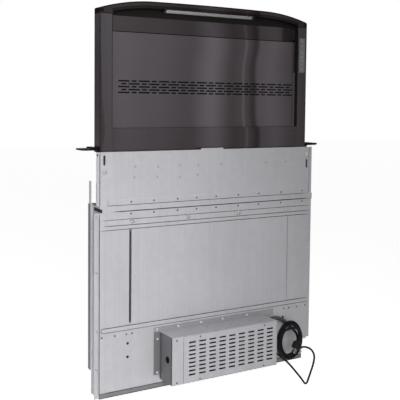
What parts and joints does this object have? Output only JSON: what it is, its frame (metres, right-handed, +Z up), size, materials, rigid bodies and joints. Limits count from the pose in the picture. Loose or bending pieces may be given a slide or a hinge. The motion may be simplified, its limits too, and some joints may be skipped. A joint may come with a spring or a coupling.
{
  "type": "downdraft vent",
  "caption": "Pop-up downdraft vent: slotted riser with light and touch strip rising by a motor screw out of a flat galvanised housing with a front control box.",
  "frame": {"origin": "middle of the counter flange's underside, between its front and rear edges", "axes": "+Z up, +X to the right as seen from the front, -Y towards the cooktop and the person who uses it"},
  "size_m": [0.7611, 0.1412, 1.1188],
  "materials": {
    "galvanised": "galvanised",
    "black_stainless": "satin, brown-black coated stainless",
    "black_enamel": "satin black",
    "dark_steel": "dark zinc",
    "screw_steel": "zinc plated",
    "lens": "frosted",
    "board": "solder mask",
    "cord_rubber": "matt",
    "nylon": "white nylon",
    "black_plastic": "moulded",
    "filter_mesh": "woven mesh",
    "touch_glass": "gloss",
    "motor_paint": "satin",
    "brass": "plain"
  },
  "bodies": {
    "housing": {"front_sheet": "galvanised", "lower_front_panel": "galvanised", "lower_hem_strip": "galvanised", "seam_strip": "galvanised", "upper_front_plate": "galvanised", "upper_side_guides": "galvanised", "left_side_wall": "galvanised", "right_side_wall": "galvanised", "rear_sheet": "galvanised", "outlet_collar": "galvanised", "upper_rear_plate": "galvanised", "bottom_pan": "galvanised", "rear_rails": "dark_steel", "rail_extensions": "galvanised", "counter_flange": "black_enamel", "flange_brackets": "black_enamel", "sheet_rivets": "screw_steel", "sheet_screws": "screw_steel", "motor_bracket": "galvanised", "lift_gearbox": "black_plastic", "lift_motor": "motor_paint", "guide_rails": "galvanised", "position_switches": "black_plastic", "control_box": "galvanised", "control_box_cover": "galvanised", "box_screws": "screw_steel", "box_grommet": "black_plastic", "control_board": "board", "transformer": "motor_paint", "terminal_block": "nylon", "mains_boot": "cord_rubber", "mains_lead": "cord_rubber", "mains_coil": "cord_rubber", "mains_tail": "cord_rubber", "mains_plug": "cord_rubber", "link_glands": "black_plastic", "link_lead": "cord_rubber"},
    "riser": {"left_pillar": "black_stainless", "right_pillar": "black_stainless", "riser_rear_panel": "black_stainless", "lower_cross_panel": "black_stainless", "top_rail": "black_stainless", "cap": "black_stainless", "cap_trim": "black_stainless", "soffit_board": "black_enamel", "cap_corners": "black_plastic", "light_housing": "black_plastic", "light_lens": "lens", "led_board": "board", "riser_frame": "galvanised", "lift_beam": "galvanised", "lift_nut": "nylon", "glide_blocks": "nylon", "mesh_filters": "filter_mesh", "control_strip": "touch_glass", "touch_board": "board"},
    "panel": {"slotted_panel": "black_stainless", "panel_magnets": "black_plastic"},
    "lift_shaft": {"drive_coupler": "screw_steel", "lift_screw": "screw_steel"}
  },
  "joints": [
    {"name": "riser_lift", "type": "slide", "parent": "housing", "child": "riser", "axis": [0, 0, 1], "range_m": [-0.356, 0]},
    {"name": "panel_release", "type": "slide", "parent": "riser", "child": "panel", "axis": [0, -1, 0], "range_m": [0, 0.06]},
    {"name": "screw_turn", "type": "hinge", "parent": "housing", "child": "lift_shaft", "pos_m": [0, 0.0035, -0.5], "axis": [0, 0, 1], "continuous": true}
  ],
  "couplings": [
    {"joint": "screw_turn", "follows": "riser_lift", "rad_per_m": -314.16}
  ]
}
